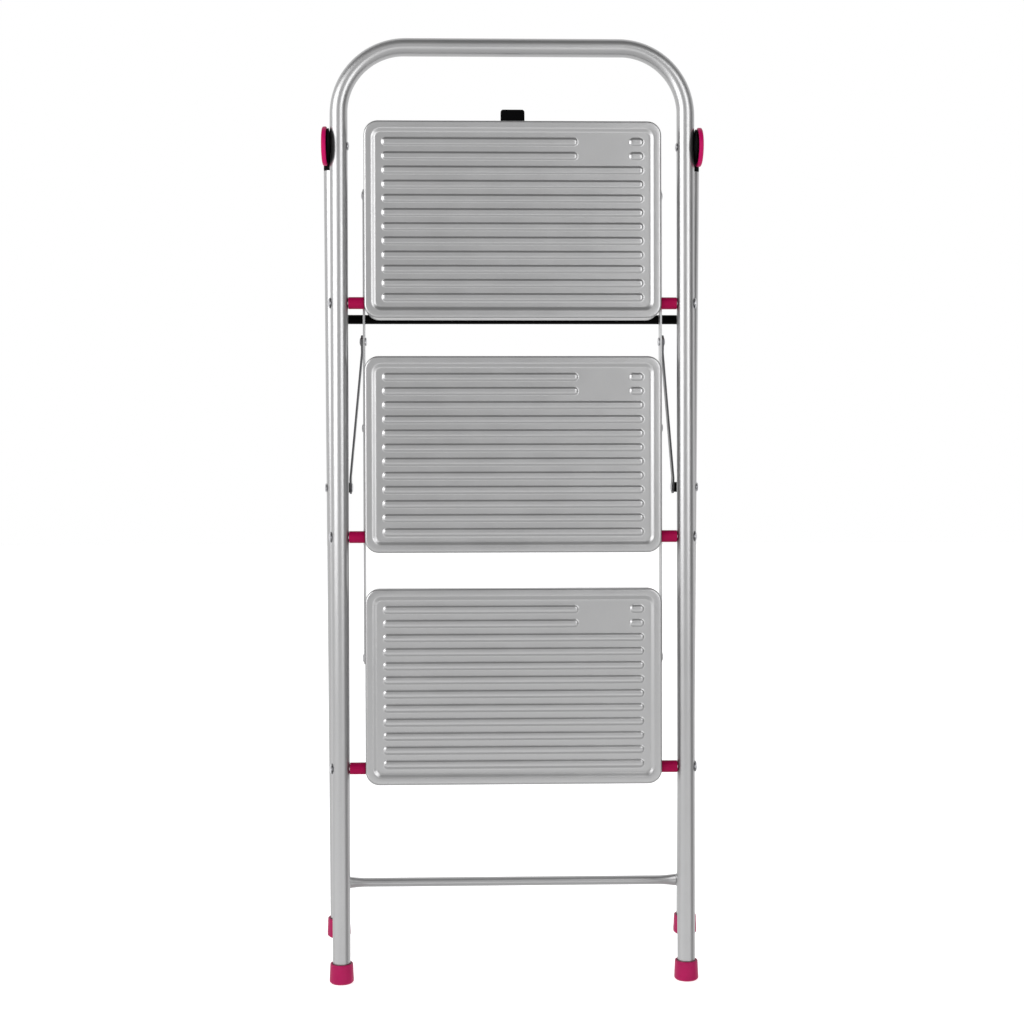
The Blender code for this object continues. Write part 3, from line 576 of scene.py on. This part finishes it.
def tread_mesh(level):
    """One pressed sheet of steel with a rolled rim, a sunk panel, raised ribs and a skirt."""
    low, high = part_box("tread_" + level)
    xs, zs = tread_grid(low, high)
    shape = bmesh.new()
    rows = []
    edge = ring_outline(low, high, xs, zs, 0.0)
    notch_from = high.z - TREAD_ROUNDING if level == "top" else high.z
    depths = [skirt_depth(low, x, z, notch_from) for x, z in edge]
    bend_end = low.y + TREAD_ROUNDING
    for share in (1.0, 0.8, 0.5, 0.2):
        ring = zip(edge, depths)
        points = [(x, bend_end + (depth - TREAD_ROUNDING) * share, z) for (x, z), depth in ring]
        rows.append([shape.verts.new(point) for point in points])
    for inset, depth in tread_section():
        x, z = np.array(ring_outline(low, high, xs, zs, inset)).T
        y = low.y + depth - (rib_height(x, high.z - z) if inset > STEP_END else 0 * x)
        rows.append([shape.verts.new(point) for point in zip(x, y, z)])
    x, z = np.meshgrid(np.array(xs), np.array(zs), indexing="ij")
    y = low.y + STEP_DEPTH - rib_height(x, high.z - z)
    grid = [[shape.verts.new(point) for point in zip(x[i], y[i], z[i])] for i in range(len(xs))]
    turn = CORNER_STEPS + 1
    rim = [column[0] for column in grid] + [grid[-1][0]] * turn
    rim += grid[-1] + [grid[-1][-1]] * turn
    rim += [column[-1] for column in reversed(grid)] + [grid[0][-1]] * turn
    rim += list(reversed(grid[0])) + [grid[0][0]] * turn
    rows.append(rim)
    for first, second in zip(rows, rows[1:]):
        bridge(shape, first, second)
    for first, second in zip(grid, grid[1:]):
        bridge(shape, first, second, closed=False)
    return finish_mesh(shape, "tread_pressed_" + level)


def treads():
    for level in LEVELS:
        name = "tread_pressed_" + level
        obj = add_piece(
            name, tread_mesh(level), SILVER, level + "_tread", "tread_" + level
        )
        sheet = obj.modifiers.new("sheet", "SOLIDIFY")
        sheet.thickness = TREAD_SHEET
        sheet.offset = -1


# ---------------------------------------------------------------- fasteners and moulded pieces


def turned_fitting(node, profile, material, body, sign, sides=48):
    mesh = turned_mesh(node + "_turned", profile, along_x(sign, centre_of(node)), sides)
    return add_piece(node + "_turned", mesh, material, body, node)


def sleeve_profile(inner, outer, bore, radius, rounding):
    return rounded([(bore, inner), (radius, inner), (radius, outer), (bore, outer)], rounding)


def tread_fittings():
    for level in LEVELS:
        for side, sign in SIDES.items():
            where = level + "_" + side
            inner, outer = span_x("spacer_" + where)
            sleeve = sleeve_profile(inner, outer, SPACER_BORE, SPACER_RADIUS, 0.0008)
            turned_fitting("spacer_" + where, sleeve, PINK, "front_frame", sign)
            inner, outer = span_x("tread_bolt_" + where)
            head = outer - BOLT_HEAD_HEIGHT
            bolt = [(0, outer), (0.0022, outer - 0.0001), (0.0042, outer - 0.0006)]
            bolt += [(0.0056, outer - 0.0014), (BOLT_HEAD, head + 0.0003), (0.0058, head)]
            bolt += [(BOLT_SHANK, head), (BOLT_SHANK, inner), (0, inner)]
            turned_fitting("tread_bolt_" + where, bolt, BRIGHT, "front_frame", sign)
            keep_node("tread_nut_" + where, BRIGHT, 0.0004)


def keep_node(node, material, rounding):
    """A CAD node that stays, with a better finish and its edges softened."""
    obj = NODES[node]
    obj.data.materials.clear()
    obj.data.materials.append(material)
    bevel = obj.modifiers.new("soft_edges", "BEVEL")
    bevel.width = rounding
    bevel.segments = 3
    bevel.limit_method = "ANGLE"
    bevel.angle_limit = math.radians(40)


def rivet_profile(inner, outer, head, shank, height):
    """A rivet with two domed heads, as (radius, distance from the middle plane)."""
    dome = [(0, outer), (head * 0.45, outer - height * 0.08), (head * 0.8, outer - height * 0.35)]
    dome += [(head, outer - height * 0.8), (head * 0.97, outer - height), (shank, outer - height)]
    return dome + [(r, inner + outer - d) for r, d in reversed(dome)]


def stud_profile(inner, outer):
    """A plain shank with one low domed head at its inner end."""
    stud = [(0, outer), (SMALL_SHANK, outer), (SMALL_SHANK, inner + SMALL_HEIGHT)]
    stud += [(SMALL_HEAD, inner + SMALL_HEIGHT), (SMALL_HEAD, inner + 0.0004)]
    return stud + [(0.0036, inner), (0, inner)]


def capped_profile(inner, outer):
    """A plain shank with one domed head at its outer end."""
    under = outer - SMALL_HEIGHT
    cap = [(0, outer), (0.002, outer - 0.0001), (0.0036, outer - 0.0005)]
    cap += [(SMALL_HEAD, outer - 0.0011), (0.0044, under)]
    return cap + [(SMALL_SHANK, under), (SMALL_SHANK, inner), (0, inner)]


def rivets():
    small = (SMALL_HEAD, SMALL_SHANK, SMALL_HEIGHT)
    hinge = (SMALL_HEAD, HINGE_SHANK, SMALL_HEIGHT)
    pin = (PIN_HEAD, PIN_SHANK, PIN_HEIGHT)
    bush = (BUSH_BORE, BUSH_RADIUS, 0.0006)
    for side, sign in SIDES.items():
        fittings = [
            ("link_rivet_" + level, rivet_profile, small, BRIGHT, side + "_link", "bright_steel")
            for level in LEVELS
        ]
        fittings += [
            ("brace_stud", stud_profile, (), BRIGHT, side + "_link", "bright_steel"),
            ("brace_rivet", capped_profile, (), BRIGHT, side + "_brace", "bright_steel"),
            ("brace_pin", rivet_profile, pin, BRIGHT, "rear_frame", "bright_steel"),
            ("brace_bush", sleeve_profile, bush, BLACK, "rear_frame", "black_plastic"),
            ("hinge_rivet", rivet_profile, hinge, BRIGHT, "front_frame", "bright_steel"),
        ]
        for kind, profile, sizes, material, body, slot in fittings:
            node = kind + "_" + side
            turned_fitting(node, profile(*span_x(node), *sizes), material, body, sign)


def hinge_caps():
    """A thick disc with a soft rim, a shallow dished face and a small raised centre."""
    for side, sign in SIDES.items():
        node = "hinge_cap_" + side
        inner, outer = span_x(node)
        radius = (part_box(node)[1].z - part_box(node)[0].z) / 2
        face = [(0, outer), (0.0021, outer - 0.00005), (0.0034, outer - 0.0005), (0.0060, outer - 0.0006)]
        face += [(radius * 0.62, outer - 0.0001), (radius - 0.0020, outer)]
        rim = [(radius - 0.0002, outer - 0.0008), (radius, outer - 0.0028), (radius - 0.0001, inner)]
        profile = rounded([*face, *rim, (CAP_BORE + 0.0002, inner)], 0.0012)
        profile += [(CAP_BORE, inner + CAP_BORE_DEPTH), (0, inner + CAP_BORE_DEPTH)]
        turned_fitting(node, profile, PINK_CAP, "rear_frame", sign, sides=72)


def softened(node, voxel, smoothing):
    """The node's own shape as one moulding with softly rounded edges."""
    obj = bpy.data.objects.new("soft_" + node, NODES[node].data.copy())
    bpy.context.scene.collection.objects.link(obj)
    remesh = obj.modifiers.new("remesh", "REMESH")
    remesh.mode = "VOXEL"
    remesh.voxel_size = voxel
    smooth = obj.modifiers.new("smooth", "SMOOTH")
    smooth.iterations = smoothing
    bpy.context.view_layer.update()
    mesh = bpy.data.meshes.new_from_object(obj.evaluated_get(bpy.context.evaluated_depsgraph_get()))
    bpy.data.objects.remove(obj)
    mesh.materials.clear()
    return mesh


def mouldings():
    for side in SIDES:
        node = "hinge_bracket_" + side
        mesh = softened(node, 0.0006, 4)
        add_piece(node + "_moulded", mesh, BLACK, "rear_frame", node)
        keep_node("hinge_saddle_" + side, BLACK, 0.0002)
    mesh = softened("latch_lever", 0.0005, 5)
    add_piece("latch_lever_moulded", mesh, BLACK, "platform_latch", "latch_lever")
    keep_node("latch_bracket", SILVER, 0.0003)
    keep_node("latch_pin", BRIGHT, 0.0003)


def flat_bars():
    for side in SIDES:
        keep_node("link_bar_" + side, LINK_SILVER, 0.0004)
        # The brace bars get the darkened finish, a painted shade.
        keep_node("brace_bar_" + side, BRACE_SHADE_PAINT, 0.0004)


# ---------------------------------------------------------------- studio

CAMERA_DISTANCE = 1.730  # from the front tube's plane
CAMERA_LENS = 56.7
CAMERA_AZIMUTH = math.radians(-1.6)
CAMERA_PITCH = math.radians(-0.75)
CAMERA_ROLL = math.radians(-0.14)
AIM = Vector((-0.0015, 0.0, 0.5044))
FLOOR_WHITE = (0.93, 0.93, 0.93)
FLOOR_GLOW = 0.62
BEHIND = 1.0  # the white behind the stool
AHEAD = (  # (height from straight down to straight up, brightness) of the room behind the camera
    (-1.0, 0.70),
    (-0.5, 0.75),
    (-0.28, 1.80),
    (-0.14, 0.70),
    (0.0, 0.53),
    (0.20, 0.48),
    (0.30, 0.95),
    (0.60, 0.32),
    (1.0, 0.15),
)
RIGHT_SHADE = 0.30  # share of the brightness that is left far out to the right
RIGHT_FADE = (0.70, 0.90)  # X part of the direction over which the room darkens
BEHIND_FADE = (-0.05, 0.30)  # Y part of the direction over which it turns white
BOX_LOW, BOX_HIGH = 0.42, 2.0  # heights that both soft boxes span


def camera():
    front = (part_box("front_tube")[0].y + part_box("front_tube")[1].y) / 2
    aim = AIM + Vector((0, front, 0))
    forward = Vector((-math.sin(CAMERA_AZIMUTH), math.cos(CAMERA_AZIMUTH), 0)) * math.cos(CAMERA_PITCH)
    forward.z = math.sin(CAMERA_PITCH)
    data = bpy.data.cameras.new("camera")
    data.lens = CAMERA_LENS
    data.sensor_width = 36
    data.clip_start, data.clip_end = 0.05, 60
    obj = bpy.data.objects.new("camera", data)
    bpy.context.scene.collection.objects.link(obj)
    obj.location = aim - forward * CAMERA_DISTANCE
    turn = forward.to_track_quat("-Z", "Y").to_matrix().to_4x4()
    obj.rotation_euler = (turn @ Matrix.Rotation(CAMERA_ROLL, 4, "Z")).to_euler()
    bpy.context.scene.camera = obj


def floor():
    shape = bmesh.new()
    bmesh.ops.create_grid(shape, x_segments=1, y_segments=1, size=14)
    mesh = bpy.data.meshes.new("floor")
    shape.to_mesh(mesh)
    shape.free()
    obj = bpy.data.objects.new("floor", mesh)
    bpy.context.scene.collection.objects.link(obj)
    material, tree, shader = new_material("floor_white")
    white = ramp(tree, noise(tree, 3.0, 3.0), shade(FLOOR_WHITE, 0.995), FLOOR_WHITE)
    tree.links.new(white, shader.inputs["Base Color"])
    shader.inputs["Roughness"].default_value = 0.9
    shader.inputs["Specular IOR Level"].default_value = 0.1
    shader.inputs["Emission Color"].default_value = (1, 1, 1, 1)
    shader.inputs["Emission Strength"].default_value = FLOOR_GLOW
    mesh.materials.append(material)
    obj.visible_glossy = False


def grey(value):
    return (value, value, value, 1.0)


def remapped(tree, value, low, high):
    """A direction's component as a share of the way from low to high."""
    node = tree.nodes.new("ShaderNodeMapRange")
    node.inputs["From Min"].default_value = low
    node.inputs["From Max"].default_value = high
    tree.links.new(value, node.inputs["Value"])
    return node.outputs["Result"]


def brightness_ramp(tree, value, stops):
    node = tree.nodes.new("ShaderNodeValToRGB")
    elements = node.color_ramp.elements
    while len(elements) < len(stops):
        elements.new(0.5)
    for element, (position, brightness) in zip(elements, stops):
        element.position = position
        element.color = grey(brightness)
    tree.links.new(value, node.inputs["Fac"])
    return node.outputs["Color"]


def world():
    """The camera sees plain white. The stool is lit by white from behind and by a grey room in front."""
    scene_world = bpy.data.worlds.new("studio")
    scene_world.use_nodes = True
    tree = scene_world.node_tree
    place = tree.nodes.new("ShaderNodeTexCoord")
    split = tree.nodes.new("ShaderNodeSeparateXYZ")
    tree.links.new(place.outputs["Generated"], split.inputs["Vector"])
    stops = [((height + 1) / 2, brightness) for height, brightness in AHEAD]
    ahead = brightness_ramp(tree, remapped(tree, split.outputs["Z"], -1.0, 1.0), stops)
    across = brightness_ramp(
        tree, remapped(tree, split.outputs["X"], *RIGHT_FADE), ((0.0, 1.0), (1.0, RIGHT_SHADE))
    )
    room = mixed(tree, "MULTIPLY", 1.0, ahead, across)
    behind = remapped(tree, split.outputs["Y"], *BEHIND_FADE)
    lighting = mixed(tree, "MIX", behind, room, grey(BEHIND))
    seen = tree.nodes.new("ShaderNodeLightPath").outputs["Is Camera Ray"]
    light = mixed(tree, "MIX", seen, lighting, grey(BEHIND))
    tree.links.new(light, tree.nodes["Background"].inputs["Color"])
    bpy.context.scene.world = scene_world


def soft_box(name, azimuth, distance, width, radiance):
    """An upright soft box facing the stool. The azimuth is seen from the stool, 0 towards the camera."""
    data = bpy.data.lights.new(name, "AREA")
    data.shape = "RECTANGLE"
    data.size, data.size_y = width, BOX_HIGH - BOX_LOW
    data.energy = radiance * math.pi * data.size * data.size_y
    obj = bpy.data.objects.new(name, data)
    bpy.context.scene.collection.objects.link(obj)
    angle = math.radians(azimuth)
    height = (BOX_LOW + BOX_HIGH) / 2
    obj.location = (distance * math.sin(angle), -distance * math.cos(angle), height)
    obj.rotation_euler = (math.pi / 2, 0, angle)
    obj.visible_camera = False


def lights():
    soft_box("left_box", azimuth=-54, distance=1.9, width=1.6, radiance=3.0)
    soft_box("right_box", azimuth=32, distance=2.1, width=1.0, radiance=2.5)


front_tube()
rear_legs()
crossbars()
feet()
treads()
tread_fittings()
rivets()
hinge_caps()
mouldings()
flat_bars()

floor()
world()
lights()
camera()
bpy.context.scene.view_settings.view_transform = "Standard"
bpy.context.scene.view_settings.look = "None"
